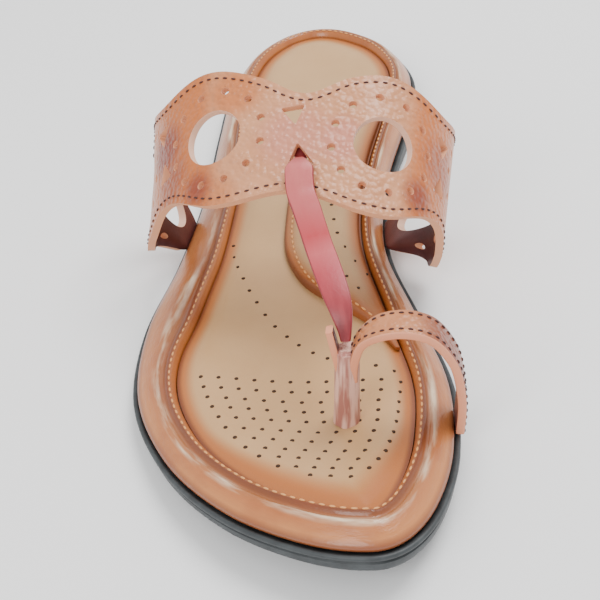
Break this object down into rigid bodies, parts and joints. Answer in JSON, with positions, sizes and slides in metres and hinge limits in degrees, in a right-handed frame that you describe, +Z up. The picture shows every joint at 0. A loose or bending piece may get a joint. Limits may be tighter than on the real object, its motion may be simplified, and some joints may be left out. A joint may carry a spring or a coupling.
{
  "type": "flat sandal",
  "caption": "Flat leather T-strap sandal for the right foot with a pierced medallion instep band, toe loop, padded insole and black rubber outsole.",
  "frame": {"origin": "on the floor, in the middle of the flat spot under the heel", "axes": "+X from heel to toe, +Y towards the inner side of the foot, +Z up"},
  "size_m": [0.25, 0.0854, 0.0609],
  "materials": {
    "outsole_rubber": "smooth black moulded rubber",
    "rim_leather": "polished brown leather",
    "sock_leather": "smooth light tan leather",
    "arch_leather": "smooth tan leather with a burnished edge",
    "grained_leather": "pebbled tan leather with burnished patches",
    "smooth_leather": "smooth cherry leather"
  },
  "bodies": {
    "root": {"outsole": "outsole_rubber", "midsole": "rim_leather", "insole": "sock_leather", "arch_pad": "arch_leather", "instep_band": "grained_leather", "t_strap": "smooth_leather", "toe_loop": "grained_leather"}
  },
  "joints": []
}
